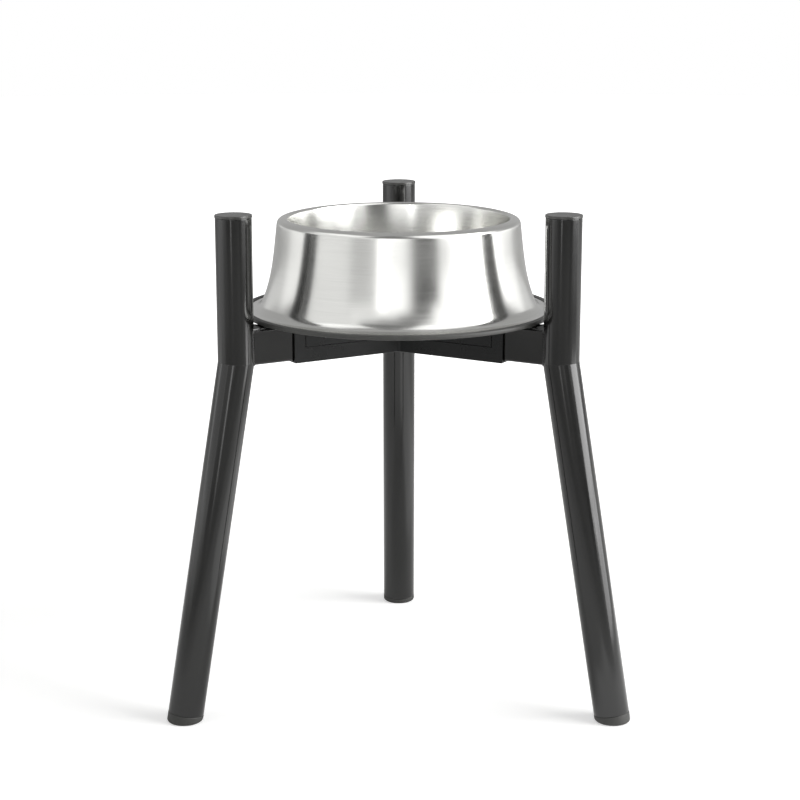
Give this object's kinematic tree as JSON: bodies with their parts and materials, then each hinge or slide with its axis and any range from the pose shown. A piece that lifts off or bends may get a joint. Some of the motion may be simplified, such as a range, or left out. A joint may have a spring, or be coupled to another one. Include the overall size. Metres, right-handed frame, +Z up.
{
  "type": "dog feeder stand",
  "caption": "Raised dog feeder: splayed tube legs on sliding arms in a clamped hub set the width round a lift-out steel bowl on a rubber base.",
  "frame": {"origin": "on the floor, straight under the axis of the hub, at the centre of the three feet", "axes": "+Z up along the hub's axis, +Y towards the back leg, -Y towards the viewer of the picture, +X to the viewer's right"},
  "size_m": [0.3302, 0.3017, 0.3595],
  "materials": {
    "powder_coated_steel": "satin",
    "black_nylon": "satin",
    "black_acetal": "satin",
    "black_polypropylene": "matte",
    "black_rubber": "matte",
    "grey_rubber": "matte",
    "stainless_steel": "satin",
    "zinc_plated_steel": "satin",
    "brass": "satin"
  },
  "bodies": {
    "hub": {"hub_base": "black_nylon", "hub_cover": "black_nylon", "hub_screws": "zinc_plated_steel", "hub_inserts": "brass"},
    "left_leg": {"arm_left": "powder_coated_steel", "glide_left": "black_acetal", "post_left": "powder_coated_steel", "leg_left": "powder_coated_steel", "cap_left": "black_polypropylene", "foot_left": "black_rubber"},
    "right_leg": {"arm_right": "powder_coated_steel", "glide_right": "black_acetal", "post_right": "powder_coated_steel", "leg_right": "powder_coated_steel", "cap_right": "black_polypropylene", "foot_right": "black_rubber"},
    "back_leg": {"arm_back": "powder_coated_steel", "glide_back": "black_acetal", "post_back": "powder_coated_steel", "leg_back": "powder_coated_steel", "cap_back": "black_polypropylene", "foot_back": "black_rubber"},
    "bowl": {"bowl": "stainless_steel", "bowl_base": "grey_rubber"}
  },
  "joints": [
    {"name": "left_slide", "type": "slide", "parent": "hub", "child": "left_leg", "axis": [-0.866, -0.5, 0], "range_m": [-0.0045, 0.022]},
    {"name": "right_slide", "type": "slide", "parent": "hub", "child": "right_leg", "axis": [0.866, -0.5, 0], "range_m": [-0.0045, 0.022]},
    {"name": "back_slide", "type": "slide", "parent": "hub", "child": "back_leg", "axis": [0, 1, 0], "range_m": [-0.0045, 0.022]},
    {"name": "bowl_lift", "type": "slide", "parent": "hub", "child": "bowl", "axis": [0, 0, 1], "range_m": [0, 0.1]}
  ]
}
